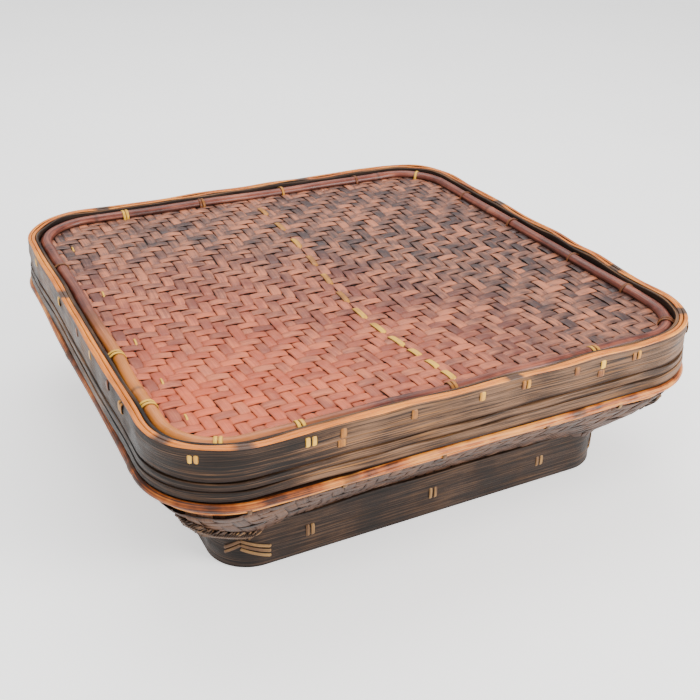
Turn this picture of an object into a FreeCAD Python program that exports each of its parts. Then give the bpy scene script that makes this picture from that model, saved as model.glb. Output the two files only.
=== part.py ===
import FreeCAD, Part
import math
import os

# A square woven-bamboo basket with rounded corners, a lift-off lid and a foot ring.
# Millimetres, +Z up. The origin is at the middle of the foot's underside.

# ---- Lid ------------------------------------------------------------------------
lid_half = 220.0             # centre to the outer face of the lid's wall
lid_corner_radius = 61.0     # on that outer face
lid_height = 39.0            # rim top to the wall's lower edge
upper_band_height = 23.6
upper_band_thickness = 3.3
band_gap = 0.9               # groove between the two outer bands
lower_band_proud = 1.0       # how far the lower band stands out past the upper one
core_band_thickness = 3.2
liner_thickness = 3.0        # both for the liner and for the rim filler above the panel
panel_thickness = 2.4
rod_width = 10.0
rod_height = 6.0
rod_shoulder = 1.2
rod_below_rim = 2.0
rod_gap = 1.4                # between the clamping rod and the rim filler
batten_thickness = 3.2
centre_batten_width = 12.0
side_batten_width = 9.0
side_batten_inset = 35.0     # from the lid's outer face to the batten's middle
side_batten_length = 330.0
batten_end_gap = 2.5

# ---- Base -----------------------------------------------------------------------
seat_gap = 0.6               # under the lid's wall when it rests on the base
lid_clearance = 1.5          # between the lid's liner and the collar
hoop_height = 10.5
hoop_bulge = 3.6             # how far the rim hoop stands out past the lid's upper band
hoop_bulge_level = 6.6       # its widest level, above its underside
hoop_top_proud = 1.6         # the hoop's top outer edge, from the same face
hoop_bottom_proud = -4.0     # the hoop's bottom outer edge
collar_thickness = 3.0
collar_lap = 12.0            # how far the collar reaches up into the lid
weave_thickness = 2.4        # of the woven tray's wall and floor
tray_rise = 46.5             # height of the sloping wall above the foot
tray_neck = 6.4              # upright stretch of wall below the hoop
strand_height = 3.0
strand_thickness = 2.4
strand_below_hoop = 1.2

# ---- Foot -----------------------------------------------------------------------
foot_half = 170.0            # centre to the foot ring's outer face
foot_corner_radius = 33.0
foot_height = 37.0
foot_band_thickness = 3.2
foot_backing_thickness = 3.8
foot_rebate = 7.0            # how far the backing band stops below the outer band
slat_width = 18.0
slat_thickness = 4.0
slat_pitch = 96.0
slat_count = 3

# ---- Split-cane stitches and lashings ---------------------------------------------
cane_thickness = 0.8
cane_width = 3.4
cane_clearance = 0.2         # all round a cane strand in its slot
pair_pitch = 4.4             # between the two strands of a double stitch
lashing_pitch = 80.0         # along a side of the lid
lashings_per_side = 4
loop_pitch = 78.0            # along a side of the base rim
loops_per_side = 5
foot_stitch_pitch = 100.0
foot_stitches_per_side = 3
foot_stitch_length = 9.0
centre_stitch_pitch = 34.0
centre_stitch_count = 11
centre_stitch_length = 18.0
side_stitch_pitch = 76.0
side_stitch_count = 5
side_stitch_length = 8.0
fan_strands = 3
fan_strand_width = 2.6
fan_strand_length = 27.0
fan_strand_pitch = 4.4
fan_first_drop = 16.0        # first strand's middle, below the foot's top edge
fan_tilt = 20.0              # degrees below level
fan_turn = 30.0              # degrees from the corner's diagonal to a strand's middle

# ---- Scarf joints, where a bent hoop's two ends meet -------------------------------
scarf_length = 26.0
scarf_kerf = 0.4

# ---- Levels and offsets that follow ----------------------------------------------
lid_corner_centre = lid_half - lid_corner_radius
foot_corner_centre = foot_half - foot_corner_radius
tray_top_of_slope = foot_height + tray_rise
hoop_bottom = tray_top_of_slope + tray_neck
hoop_top = hoop_bottom + hoop_height
lid_bottom = hoop_top + seat_gap
rim_top = lid_bottom + lid_height
upper_band_bottom = rim_top - upper_band_height
rod_top = rim_top - rod_below_rim
panel_top = rod_top - rod_height
panel_bottom = panel_top - panel_thickness
batten_bottom = panel_bottom - batten_thickness
panel_half = lid_half - upper_band_thickness - core_band_thickness
liner_inner = panel_half - liner_thickness
wall_thickness = lid_half - liner_inner
rod_outer = liner_inner - rod_gap
rod_inner = rod_outer - rod_width
collar_outer = liner_inner - lid_clearance
collar_inner = collar_outer - collar_thickness
collar_top = hoop_top + collar_lap
tray_outer = collar_outer + weave_thickness
strand_top = hoop_bottom - strand_below_hoop
strand_bottom = strand_top - strand_height
backing_outer = foot_half - foot_band_thickness
backing_inner = backing_outer - foot_backing_thickness
backing_top = foot_height - foot_rebate
floor_top = backing_top + weave_thickness
QUARTERS = range(4)
BIG = 4 * lid_half


# ---- Shape helpers ----------------------------------------------------------------
def turned(shape, degrees):
    """A copy turned about the basket's upright axis."""
    copy = shape.copy()
    copy.rotate(FreeCAD.Vector(0, 0, 0), FreeCAD.Vector(0, 0, 1), degrees)
    return copy


def rounded_square(half, corner_centre, z):
    """A closed outline of four straight sides and four quarter arcs."""
    radius = half - corner_centre
    bow = corner_centre + radius * math.sqrt(0.5)
    edges = []
    for quarter in QUARTERS:
        side = Part.makeLine(FreeCAD.Vector(half, -corner_centre, z),
                             FreeCAD.Vector(half, corner_centre, z))
        corner = Part.Arc(FreeCAD.Vector(half, corner_centre, z),
                          FreeCAD.Vector(bow, bow, z),
                          FreeCAD.Vector(corner_centre, half, z)).toShape()
        edges.append(turned(side, 90 * quarter))
        edges.append(turned(corner, 90 * quarter))
    return Part.Wire(edges)


def slab(half, corner_centre, z_low, z_high):
    """A rounded-square plate."""
    face = Part.Face(rounded_square(half, corner_centre, z_low))
    return face.extrude(FreeCAD.Vector(0, 0, z_high - z_low))


def band(outer, inner, corner_centre, z_low, z_high):
    """A flat strip bent into a rounded-square ring."""
    return slab(outer, corner_centre, z_low, z_high).cut(
        slab(inner, corner_centre, z_low - 1, z_high + 1))


def moulding(section, corner_centre):
    """A shaped strip bent into a ring: section is a face in the XZ plane."""
    start = section.copy()
    start.translate(FreeCAD.Vector(0, -corner_centre, 0))
    side = start.extrude(FreeCAD.Vector(0, 2 * corner_centre, 0))
    end = section.copy()
    end.translate(FreeCAD.Vector(0, corner_centre, 0))
    corner = end.revolve(FreeCAD.Vector(corner_centre, corner_centre, 0),
                         FreeCAD.Vector(0, 0, 1), 90)
    pieces = []
    for quarter in QUARTERS:
        pieces.append(turned(side, 90 * quarter))
        pieces.append(turned(corner, 90 * quarter))
    return pieces[0].multiFuse(pieces[1:]).removeSplitter()


def section_face(points, bulge=None):
    """A face in the XZ plane; bulge is (index, point) of one edge bent to an arc."""
    corners = [FreeCAD.Vector(x, 0, z) for x, z in points]
    edges = []
    for index, corner in enumerate(corners):
        following = corners[(index + 1) % len(corners)]
        if bulge and bulge[0] == index:
            middle = FreeCAD.Vector(bulge[1][0], 0, bulge[1][1])
            edges.append(Part.Arc(corner, middle, following).toShape())
        else:
            edges.append(Part.makeLine(corner, following))
    return Part.Face(Part.Wire(edges))


def mitred(points, distance, closed):
    """The points of an outline moved sideways, to the right of its direction."""
    count = len(points)
    moved = []
    for index, (x, z) in enumerate(points):
        before = index - 1 if closed or index > 0 else None
        after = index if closed or index < count - 1 else None
        normals = []
        for first in (before, after):
            if first is None:
                continue
            ax, az = points[first]
            bx, bz = points[(first + 1) % count]
            length = math.hypot(bx - ax, bz - az)
            normals.append(((bz - az) / length, -(bx - ax) / length))
        nx = sum(n[0] for n in normals)
        nz = sum(n[1] for n in normals)
        scale = distance * len(normals) / (nx * nx + nz * nz)
        moved.append((x + nx * scale, z + nz * scale))
    return moved


def strand_loop(inside, width):
    """A flat cane strand closed round an outline in the XZ plane, centred on y = 0."""
    hole = section_face(inside)
    outline = section_face(mitred(inside, cane_thickness, True))
    ring = outline.cut(hole)
    ring.translate(FreeCAD.Vector(0, -width / 2, 0))
    return ring.extrude(FreeCAD.Vector(0, width, 0)).Solids[0]


def block(x_low, x_high, width, z_low, z_high):
    """A box centred on y = 0."""
    return Part.makeBox(x_high - x_low, width, z_high - z_low,
                        FreeCAD.Vector(x_low, -width / 2, z_low))


def along_sides(shape, pitch, count):
    """Copies spaced evenly along each of the four sides."""
    copies = []
    for quarter in QUARTERS:
        for index in range(count):
            copy = shape.copy()
            copy.translate(FreeCAD.Vector(0, pitch * (index - (count - 1) / 2), 0))
            copies.append(turned(copy, 90 * quarter))
    return copies


def at_corners(shape, corner_centre):
    """Copies at the middle of each rounded corner, for a shape made at a side."""
    copies = []
    for quarter in QUARTERS:
        copy = shape.copy()
        copy.translate(FreeCAD.Vector(-corner_centre, 0, 0))
        copy = turned(copy, 45)
        copy.translate(FreeCAD.Vector(corner_centre, corner_centre, 0))
        copies.append(turned(copy, 90 * quarter))
    return copies


def doubled(shape):
    """The two parallel strands of a double stitch."""
    copies = []
    for sign in (-1, 1):
        copy = shape.copy()
        copy.translate(FreeCAD.Vector(0, sign * pair_pitch / 2, 0))
        copies.append(copy)
    return Part.makeCompound(copies)


def slotted(shape, cutters):
    """The shape with every cutter taken out of it."""
    return shape.cut(Part.makeCompound(cutters))


def scarfed(shape, quarter, offset, face, thickness):
    """A bent hoop with the slanting cut where its two ends lap on one side."""
    slant = math.degrees(math.atan2(thickness, scarf_length))
    kerf = Part.makeBox(scarf_kerf, 2 * scarf_length, BIG,
                        FreeCAD.Vector(-scarf_kerf / 2, -scarf_length, -1))
    kerf.rotate(FreeCAD.Vector(0, 0, 0), FreeCAD.Vector(0, 0, 1), slant)
    kerf.translate(FreeCAD.Vector(face - thickness / 2, offset, 0))
    return shape.cut(turned(kerf, 90 * quarter))


# ---- Lid lashings: round the rod, down through the panel and out through the wall ----
upper_leg = rod_top - 0.3 * rod_height
lashing_inner = rod_inner - cane_clearance
lashing_outline = [
    (lid_half, panel_bottom),
    (lid_half, upper_leg),
    (rod_outer + 0.7 * rod_gap, upper_leg),
    (rod_outer - 0.3 * rod_width, rod_top + cane_clearance / 2),
    (rod_inner + 0.3 * rod_width, rod_top + cane_clearance / 2),
    (lashing_inner, panel_top + 0.53 * rod_height),
    (lashing_inner, panel_bottom),
]
pair_slot = cane_width + pair_pitch + 2 * cane_clearance


def lashing_cutters():
    """Slots for the lashings' two passes through the wall and one through the panel."""
    far = lid_half + cane_thickness + 2
    low = block(lashing_inner - 1, far, pair_slot,
                panel_bottom - cane_thickness - cane_clearance, panel_bottom)
    high = block(rod_outer, far, pair_slot,
                 upper_leg - cane_clearance, upper_leg + cane_thickness + cane_clearance)
    down = block(lashing_inner - cane_thickness - cane_clearance,
                 lashing_inner + cane_clearance, pair_slot,
                 panel_bottom - 1, panel_top + 1)
    cutters = []
    for cutter in (low, high, down):
        cutters += along_sides(cutter, lashing_pitch, lashings_per_side)
        cutters += at_corners(cutter, lid_corner_centre)
    return cutters


def lid_rim_lashings():
    strand = doubled(strand_loop(lashing_outline, cane_width))
    copies = along_sides(strand, lashing_pitch, lashings_per_side)
    copies += at_corners(strand, lid_corner_centre)
    return Part.makeCompound(copies)


# ---- Battens under the lid's panel and the running stitches that hold them ----------
def batten_stitch(length, clearance):
    """One stitch of a running seam, along Y, round the panel and the batten."""
    reach = length / 2 + clearance
    inside = [(-reach, batten_bottom), (reach, batten_bottom),
              (reach, panel_top), (-reach, panel_top)]
    loop = strand_loop(inside, cane_width)
    return turned(loop, 90)


def batten_seam(length, pitch, count, x):
    stitches = []
    for index in range(count):
        stitch = batten_stitch(length, 0)
        stitch.translate(FreeCAD.Vector(x, pitch * (index - (count - 1) / 2), 0))
        stitches.append(stitch)
    return stitches


def batten_seam_cutters(length, pitch, count, x):
    """The holes that a running seam passes down and up through."""
    cutters = []
    width = cane_width + 2 * cane_clearance
    depth = cane_thickness + 2 * cane_clearance
    for index in range(count):
        y = pitch * (index - (count - 1) / 2)
        for sign in (-1, 1):
            middle = y + sign * (length + cane_thickness) / 2
            cutters.append(Part.makeBox(
                width, depth, panel_top - batten_bottom + 2,
                FreeCAD.Vector(x - width / 2, middle - depth / 2, batten_bottom - 1)))
    return cutters


side_batten_x = side_batten_inset - lid_half
CENTRE_SEAM = (centre_stitch_length, centre_stitch_pitch, centre_stitch_count, 0.0)
SIDE_SEAM = (side_stitch_length, side_stitch_pitch, side_stitch_count, side_batten_x)


def lid_batten(width, length, x, seam):
    plank = Part.makeBox(width, length, batten_thickness,
                         FreeCAD.Vector(x - width / 2, -length / 2, batten_bottom))
    return slotted(plank, batten_seam_cutters(*seam))


# ---- Lid bands, panel and rod -------------------------------------------------------
def lid_outer_upper_band():
    ring = band(lid_half, lid_half - upper_band_thickness, lid_corner_centre,
                upper_band_bottom, rim_top)
    ring = slotted(ring, lashing_cutters())
    return scarfed(ring, 2, lashing_pitch, lid_half, upper_band_thickness)


def lid_outer_lower_band():
    outer = lid_half + lower_band_proud
    inner = lid_half - upper_band_thickness
    ring = band(outer, inner, lid_corner_centre, lid_bottom, upper_band_bottom - band_gap)
    return scarfed(ring, 2, -lashing_pitch, outer, outer - inner)


def lid_core_band():
    ring = band(panel_half + core_band_thickness, panel_half, lid_corner_centre,
                lid_bottom, rim_top)
    return slotted(ring, lashing_cutters())


def lid_liner_band():
    ring = band(panel_half, liner_inner, lid_corner_centre, lid_bottom, panel_bottom)
    return slotted(ring, lashing_cutters())


def lid_rim_filler():
    ring = band(panel_half, liner_inner, lid_corner_centre, panel_top, rim_top)
    return slotted(ring, lashing_cutters())


def lid_woven_panel():
    plate = slab(panel_half, lid_corner_centre, panel_bottom, panel_top)
    cutters = lashing_cutters()
    cutters += batten_seam_cutters(*CENTRE_SEAM)
    cutters += batten_seam_cutters(*SIDE_SEAM)
    return slotted(plate, cutters)


def lid_clamping_rod():
    section = section_face(
        [(rod_inner, panel_top), (rod_outer, panel_top),
         (rod_outer, panel_top + rod_shoulder), (rod_inner, panel_top + rod_shoulder)],
        bulge=(2, ((rod_inner + rod_outer) / 2, rod_top)))
    ring = moulding(section, lid_corner_centre)
    return scarfed(ring, 3, -lashing_pitch, rod_outer, rod_width)


# ---- Base rim -----------------------------------------------------------------------
def base_rim_hoop():
    section = section_face(
        [(tray_outer, hoop_bottom), (lid_half + hoop_bottom_proud, hoop_bottom),
         (lid_half + hoop_top_proud, hoop_top), (tray_outer, hoop_top)],
        bulge=(1, (lid_half + hoop_bulge, hoop_bottom + hoop_bulge_level)))
    ring = moulding(section, lid_corner_centre)
    thickness = lid_half + hoop_bulge - tray_outer
    return scarfed(ring, 3, 0.0, lid_half + hoop_bulge, thickness)


loop_outer = tray_outer + strand_thickness
loop_outline = [
    (collar_inner, strand_bottom - cane_clearance),
    (loop_outer, strand_bottom - cane_clearance),
    (loop_outer, strand_top),
    (collar_inner, strand_top),
]


def rim_loop_cutters():
    """Slots for the loops' passes through the tray's wall and the collar."""
    far = loop_outer + 2
    near = collar_inner - 2
    width = cane_width + 2 * cane_clearance
    low = block(near, far, width,
                strand_bottom - cane_thickness - 2 * cane_clearance, strand_bottom)
    high = block(near, far, width,
                 strand_top - cane_clearance, strand_top + cane_thickness + cane_clearance)
    cutters = along_sides(low, loop_pitch, loops_per_side)
    cutters += along_sides(high, loop_pitch, loops_per_side)
    return cutters


def base_rim_loops():
    loop = strand_loop(loop_outline, cane_width)
    return Part.makeCompound(along_sides(loop, loop_pitch, loops_per_side))


def base_collar():
    low = strand_bottom - cane_clearance
    ring = band(collar_outer, collar_inner, lid_corner_centre, low, collar_top)
    return slotted(ring, rim_loop_cutters())


def base_rim_strand():
    return band(loop_outer, tray_outer, lid_corner_centre, strand_bottom, strand_top)


# ---- Woven tray: one continuous weave, kept as a wall and a floor that meet edge on ----
tray_seat = backing_outer - cane_clearance
floor_half = tray_seat - weave_thickness


def base_woven_wall():
    outside = [(tray_seat, backing_top), (tray_seat, foot_height),
               (tray_outer, tray_top_of_slope), (tray_outer, hoop_top)]
    inside = mitred(outside, -weave_thickness, False)
    inside[0] = (inside[0][0], backing_top - 1)
    inside[-1] = (inside[-1][0], hoop_top + 1)
    centres = (foot_corner_centre, foot_corner_centre, lid_corner_centre, lid_corner_centre)
    solids = []
    for profile in (outside, inside):
        wires = [rounded_square(half, centre, z)
                 for (half, z), centre in zip(profile, centres)]
        solids.append(Part.makeLoft(wires, True, True))
    return slotted(solids[0].cut(solids[1]), rim_loop_cutters())


def base_woven_floor():
    return slab(floor_half, foot_corner_centre, backing_top, floor_top)


# ---- Foot ---------------------------------------------------------------------------
foot_stitch_middle = backing_top * 0.62
foot_stitch_low = foot_stitch_middle - foot_stitch_length / 2
foot_stitch_high = foot_stitch_middle + foot_stitch_length / 2


def foot_stitches():
    inside = [(backing_inner, foot_stitch_low), (foot_half, foot_stitch_low),
              (foot_half, foot_stitch_high), (backing_inner, foot_stitch_high)]
    strand = doubled(strand_loop(inside, cane_width))
    return Part.makeCompound(along_sides(strand, foot_stitch_pitch, foot_stitches_per_side))


def foot_stitch_cutters():
    """Slots for the stitches' passes through both foot bands."""
    cutters = []
    for start in (foot_stitch_low - cane_thickness, foot_stitch_high):
        cutter = block(backing_inner - 2, foot_half + 2, pair_slot,
                       start - cane_clearance, start + cane_thickness + cane_clearance)
        cutters += along_sides(cutter, foot_stitch_pitch, foot_stitches_per_side)
    return cutters


def fan_strand(index, side, clearance):
    """One strand of a corner's fan: a strip on the foot's face, and its tail through it."""
    deep = 1.5 * (foot_half - backing_inner)
    drop = fan_first_drop + index * fan_strand_pitch
    strip = Part.makeBox(deep, fan_strand_length, fan_strand_width,
                         FreeCAD.Vector(-deep / 2, -fan_strand_length / 2,
                                        -fan_strand_width / 2))
    tail_middle = side * (fan_strand_length / 2 - cane_thickness)
    tail = Part.makeBox(deep + 2 * cane_thickness,
                        cane_thickness + 2 * clearance,
                        fan_strand_width + 2 * clearance,
                        FreeCAD.Vector(-deep, tail_middle - cane_thickness / 2 - clearance,
                                       -fan_strand_width / 2 - clearance))
    placed = []
    for shape in (strip, tail):
        shape.rotate(FreeCAD.Vector(0, 0, 0), FreeCAD.Vector(1, 0, 0), -side * fan_tilt)
        shape.translate(FreeCAD.Vector(foot_corner_radius, 0, foot_height - drop))
        shape = turned(shape, 45 + side * fan_turn)
        shape.translate(FreeCAD.Vector(foot_corner_centre, foot_corner_centre, 0))
        placed.append(shape)
    return placed


def fan_cutters():
    """Slots for the fan strands' tails at all four corners."""
    cutters = []
    for quarter in QUARTERS:
        for side in (-1, 1):
            for index in range(fan_strands):
                tail = fan_strand(index, side, cane_clearance)[1]
                cutters.append(turned(tail, 90 * quarter))
    return cutters


def foot_corner_lashing(quarter):
    skin = band(foot_half + cane_thickness, foot_half, foot_corner_centre, 0, foot_height)
    within = slab(foot_half + cane_thickness, foot_corner_centre, 0, foot_height)
    strands = []
    for side in (-1, 1):
        for index in range(fan_strands):
            strip, tail = fan_strand(index, side, 0.0)
            strand = strip.common(skin).fuse(tail.common(within)).removeSplitter()
            strands.append(turned(strand, 90 * quarter))
    return Part.makeCompound(strands)


def foot_outer_band():
    ring = band(foot_half, backing_outer, foot_corner_centre, 0, foot_height)
    ring = slotted(ring, foot_stitch_cutters() + fan_cutters())
    return scarfed(ring, 1, 0.5 * foot_stitch_pitch, foot_half, foot_band_thickness)


def slat_x(index):
    return slat_pitch * (index - (slat_count - 1) / 2)


def slat_blank(index, clearance):
    """A floor slat, or with a clearance the notch that its ends lie in."""
    return Part.makeBox(slat_width + 2 * clearance, 2 * backing_outer,
                        slat_thickness + clearance,
                        FreeCAD.Vector(slat_x(index) - slat_width / 2 - clearance,
                                       -backing_outer,
                                       backing_top - slat_thickness - clearance))


def foot_backing_band():
    ring = band(backing_outer, backing_inner, foot_corner_centre, 0, backing_top)
    notches = [slat_blank(index, cane_clearance) for index in range(slat_count)]
    return slotted(ring, foot_stitch_cutters() + fan_cutters() + notches)


# ---- Write one file per piece ---------------------------------------------------------
pieces = {
    "lid_outer_upper_band": lid_outer_upper_band(),
    "lid_outer_lower_band": lid_outer_lower_band(),
    "lid_core_band": lid_core_band(),
    "lid_liner_band": lid_liner_band(),
    "lid_rim_filler": lid_rim_filler(),
    "lid_woven_panel": lid_woven_panel(),
    "lid_clamping_rod": lid_clamping_rod(),
    "lid_rim_lashings": lid_rim_lashings(),
    "lid_centre_batten": lid_batten(centre_batten_width, 2 * (liner_inner - batten_end_gap),
                                    0.0, CENTRE_SEAM),
    "lid_centre_stitches": Part.makeCompound(batten_seam(*CENTRE_SEAM)),
    "lid_side_batten": lid_batten(side_batten_width, side_batten_length,
                                  side_batten_x, SIDE_SEAM),
    "lid_side_stitches": Part.makeCompound(batten_seam(*SIDE_SEAM)),
    "base_rim_hoop": base_rim_hoop(),
    "base_collar": base_collar(),
    "base_rim_strand": base_rim_strand(),
    "base_rim_loops": base_rim_loops(),
    "base_woven_wall": base_woven_wall(),
    "base_woven_floor": base_woven_floor(),
    "foot_outer_band": foot_outer_band(),
    "foot_backing_band": foot_backing_band(),
    "foot_stitches": foot_stitches(),
}
for corner, name in enumerate(("back_right", "back_left", "front_left", "front_right")):
    pieces["foot_lashing_" + name] = foot_corner_lashing(corner)
for number in range(slat_count):
    pieces["floor_slat_" + str(number + 1)] = slat_blank(number, 0.0)

os.makedirs("parts", exist_ok=True)
for name, shape in pieces.items():
    if not shape.isValid():
        raise RuntimeError(name + " is not a valid shape")
    shape.exportStep("parts/" + name + ".step")
    print(name, len(shape.Solids), round(shape.Volume), shape.BoundBox)
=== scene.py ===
import math

import bpy
import numpy as np
from mathutils import Matrix, Vector


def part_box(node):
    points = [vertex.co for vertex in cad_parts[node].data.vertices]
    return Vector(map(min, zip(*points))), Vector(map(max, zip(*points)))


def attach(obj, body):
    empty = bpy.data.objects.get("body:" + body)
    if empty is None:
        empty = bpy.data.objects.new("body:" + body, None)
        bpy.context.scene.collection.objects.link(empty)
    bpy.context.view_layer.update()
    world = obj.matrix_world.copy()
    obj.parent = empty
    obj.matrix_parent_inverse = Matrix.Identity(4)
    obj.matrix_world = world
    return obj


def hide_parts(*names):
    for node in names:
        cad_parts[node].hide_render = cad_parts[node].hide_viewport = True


# Looks of a square lidded basket of woven and bent bamboo. Metres, +Z up.
# Bent hoops are swept round a rounded square; woven faces are made of single strips.

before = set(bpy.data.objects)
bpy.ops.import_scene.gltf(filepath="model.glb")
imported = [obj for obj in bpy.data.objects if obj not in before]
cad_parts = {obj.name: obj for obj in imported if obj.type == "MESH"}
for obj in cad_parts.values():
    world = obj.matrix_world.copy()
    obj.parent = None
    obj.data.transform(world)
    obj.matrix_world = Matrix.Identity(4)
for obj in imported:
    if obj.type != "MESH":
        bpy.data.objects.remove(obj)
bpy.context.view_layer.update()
random = np.random.default_rng(11)

# ---- Sizes read from the frame ----------------------------------------------------
MM = 0.001
UPPER_LOW, UPPER_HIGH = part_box("lid_outer_upper_band")
LOWER_LOW, LOWER_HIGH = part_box("lid_outer_lower_band")
CORE_LOW, CORE_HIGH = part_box("lid_core_band")
LINER_LOW, LINER_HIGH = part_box("lid_liner_band")
PANEL_LOW, PANEL_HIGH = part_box("lid_woven_panel")
ROD_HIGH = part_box("lid_clamping_rod")[1]
HOOP_LOW, HOOP_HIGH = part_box("base_rim_hoop")
COLLAR_LOW, COLLAR_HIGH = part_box("base_collar")
WALL_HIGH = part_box("base_woven_wall")[1]
FLOOR_LOW, FLOOR_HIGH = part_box("base_woven_floor")
STRAND_LOW, STRAND_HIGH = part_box("base_rim_strand")
FOOT_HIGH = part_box("foot_outer_band")[1]
BACKING_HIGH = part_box("foot_backing_band")[1]

LID_HALF = UPPER_HIGH[0]
RIM_TOP = UPPER_HIGH[2]
LID_CENTRE = LID_HALF - 61 * MM          # middle of the lid's rounded corners
FOOT_HALF = FOOT_HIGH[0]
FOOT_CENTRE = FOOT_HALF - 33 * MM        # middle of the foot's rounded corners
UPPER_THICK = 3.3 * MM
LINER_THICK = 3.0 * MM
ROD_WIDTH = 10.0 * MM
COLLAR_THICK = 3.0 * MM
FOOT_THICK = FOOT_HALF - BACKING_HIGH[0]
BACKING_THICK = 3.8 * MM
CANE_THICK = 0.8 * MM
STEP = 3.0 * MM                          # spacing of samples round a hoop
UP = np.array([0.0, 0.0, 1.0])


def linked(name, data):
    """An object of a mesh, light or camera, in the scene."""
    thing = bpy.data.objects.new(name, data)
    bpy.context.scene.collection.objects.link(thing)
    return thing


def unit(vectors):
    """Each row at length one."""
    return vectors / (np.linalg.norm(vectors, axis=-1, keepdims=True) + 1e-12)


def travelled(line):
    """The distance along a line of points at each of them."""
    steps = np.linalg.norm(np.diff(line, axis=0), axis=1)
    return np.concatenate([[0], np.cumsum(steps)])


# ---- Mesh building -----------------------------------------------------------------
class Skin:
    """Collects surfaces into one mesh, with attributes that its material reads.

    grain: (along, across, strip number), in metres; tone: three values of a strip;
    shade: how much painted shade, with some dirt, darkens a point, 0 to 1."""

    def __init__(self):
        self.points = []
        self.faces = []
        self.grain = []
        self.tone = []
        self.shade = []
        self.looks = []
        self.count = 0
        self.strips = 0

    def sheet(self, grid, along, across, tone, shade=0.0, wrap=False, looks=None):
        """A tube through a grid of points (rows along it, columns round its section).

        along has one value per row (and one more when the tube closes on itself);
        across has one more value than there are columns; looks gives each column's material."""
        rows, columns = grid.shape[:2]
        tone = np.broadcast_to(np.asarray(tone, float), (rows, columns, 3))
        shade = np.broadcast_to(shade, (rows, columns))
        last = rows if wrap else rows - 1
        near = np.repeat(np.arange(last), columns)
        left = np.tile(np.arange(columns), last)
        row_index = np.stack([near, near + 1, near + 1, near], 1)
        column_index = np.stack([left, left, left + 1, left + 1], 1)
        quads = row_index % rows * columns + column_index % columns
        mark = self.strips * 0.37
        grain = np.stack([along[row_index], across[column_index],
                          np.full(quads.shape, mark)], 2).reshape(-1, 3)
        flat_tone = tone.reshape(-1, 3)
        corner_tone = flat_tone[quads.reshape(-1)]
        faces = quads.tolist()
        face_looks = np.tile(np.zeros(columns, int) if looks is None else looks, last)
        if not wrap:
            for row, order in ((0, 1), (rows - 1, -1)):
                ring = [row * columns + index for index in range(columns)][::order]
                faces.append(ring)
                cap_grain = np.array([[along[row], across[index % columns], mark]
                                      for index in ring])
                grain = np.concatenate([grain, cap_grain])
                corner_tone = np.concatenate([corner_tone, flat_tone[ring]])
                face_looks = np.append(face_looks, 0)
        for face in faces:
            self.faces.append([self.count + index for index in face])
        self.points.append(grid.reshape(-1, 3))
        self.grain.append(grain)
        self.tone.append(corner_tone)
        self.shade.append(shade.reshape(-1))
        self.looks.append(face_looks)
        self.count += rows * columns
        self.strips += 1

    def build(self, name, materials, body, slot_name, *nodes):
        """The mesh as a piece that rides on a body and stands for some nodes."""
        mesh = bpy.data.meshes.new(name)
        mesh.from_pydata(np.concatenate(self.points).tolist(), [], self.faces)
        for attribute, values in (("grain", self.grain), ("tone", self.tone)):
            data = mesh.attributes.new(attribute, "FLOAT_VECTOR", "CORNER").data
            data.foreach_set("vector", np.concatenate(values).ravel())
        shade = mesh.attributes.new("shade", "FLOAT", "POINT")
        shade.data.foreach_set("value", np.concatenate(self.shade))
        mesh.shade_smooth()
        mesh.update()
        piece = linked(name, mesh)
        for material in materials:
            mesh.materials.append(material)
        mesh.polygons.foreach_set("material_index",
                                  np.concatenate(self.looks).astype(np.int32))
        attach(piece, body)
        if nodes:
            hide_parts(*nodes)


class Ring:
    """Samples round a rounded square: corner-path points, outward normals and length."""

    def __init__(self, centre, radius, step=STEP):
        self.centre = centre
        side_count = max(8, int(2 * centre / step))
        arc_count = max(14, int(radius * math.pi / 2 / step))
        side = np.arange(side_count) / side_count
        angle = np.concatenate([np.zeros(side_count),
                                math.pi / 2 * np.arange(arc_count) / arc_count])
        y = np.concatenate([centre * (2 * side - 1), np.full(arc_count, centre)])
        turns = [quarter * math.pi / 2 for quarter in range(4)]
        x = np.full_like(y, centre)
        self.base = np.concatenate([np.stack(spin((x, y), turn), 1) for turn in turns])
        self.normal = np.concatenate([np.stack(spin((np.cos(angle), np.sin(angle)), turn), 1)
                                      for turn in turns])
        outline = self.base + self.normal * radius
        gaps = np.linalg.norm(np.roll(outline, -1, 0) - outline, axis=1)
        self.s = np.concatenate([[0], np.cumsum(gaps)])
        self.length = self.s[-1]
        self.count = len(self.base)

    def wave(self, size, low, high, seed):
        """A smooth closed wobble: sines of low to high waves per turn."""
        source = np.random.default_rng(seed)
        total = np.zeros(self.count)
        for turns in range(low, high + 1):
            total += source.normal() * np.sin(2 * math.pi * (turns * self.s[:-1] / self.length
                                                             + source.random()))
        return size * total / math.sqrt((high - low + 1) / 2)

    def points(self, out, height):
        """out: distance from the corner centres' path, height: z; both rows by columns."""
        flat = self.base[:, None, :] + self.normal[:, None, :] * out[:, :, None]
        return np.concatenate([flat, height[:, :, None]], 2)


def spin(point, angle):
    x, y = point
    return (x * math.cos(angle) - y * math.sin(angle), x * math.sin(angle) + y * math.cos(angle))


def side_point(side, offset, centre):
    """Corner-path point and outward normal at an offset along a side, or round its corner.

    Sides: 0 right, 1 back, 2 left, 3 front. The offset grows counter-clockwise."""
    reach = abs(offset) - centre
    angle = 0.0
    along = offset
    if reach > 0:
        angle = math.copysign(min(reach / (LID_HALF - LID_CENTRE), math.pi / 2), offset)
        along = math.copysign(centre, offset)
    turn = side * math.pi / 2
    return np.array(spin((centre, along), turn)), np.array(spin((math.cos(angle),
                                                                 math.sin(angle)), turn))


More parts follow.
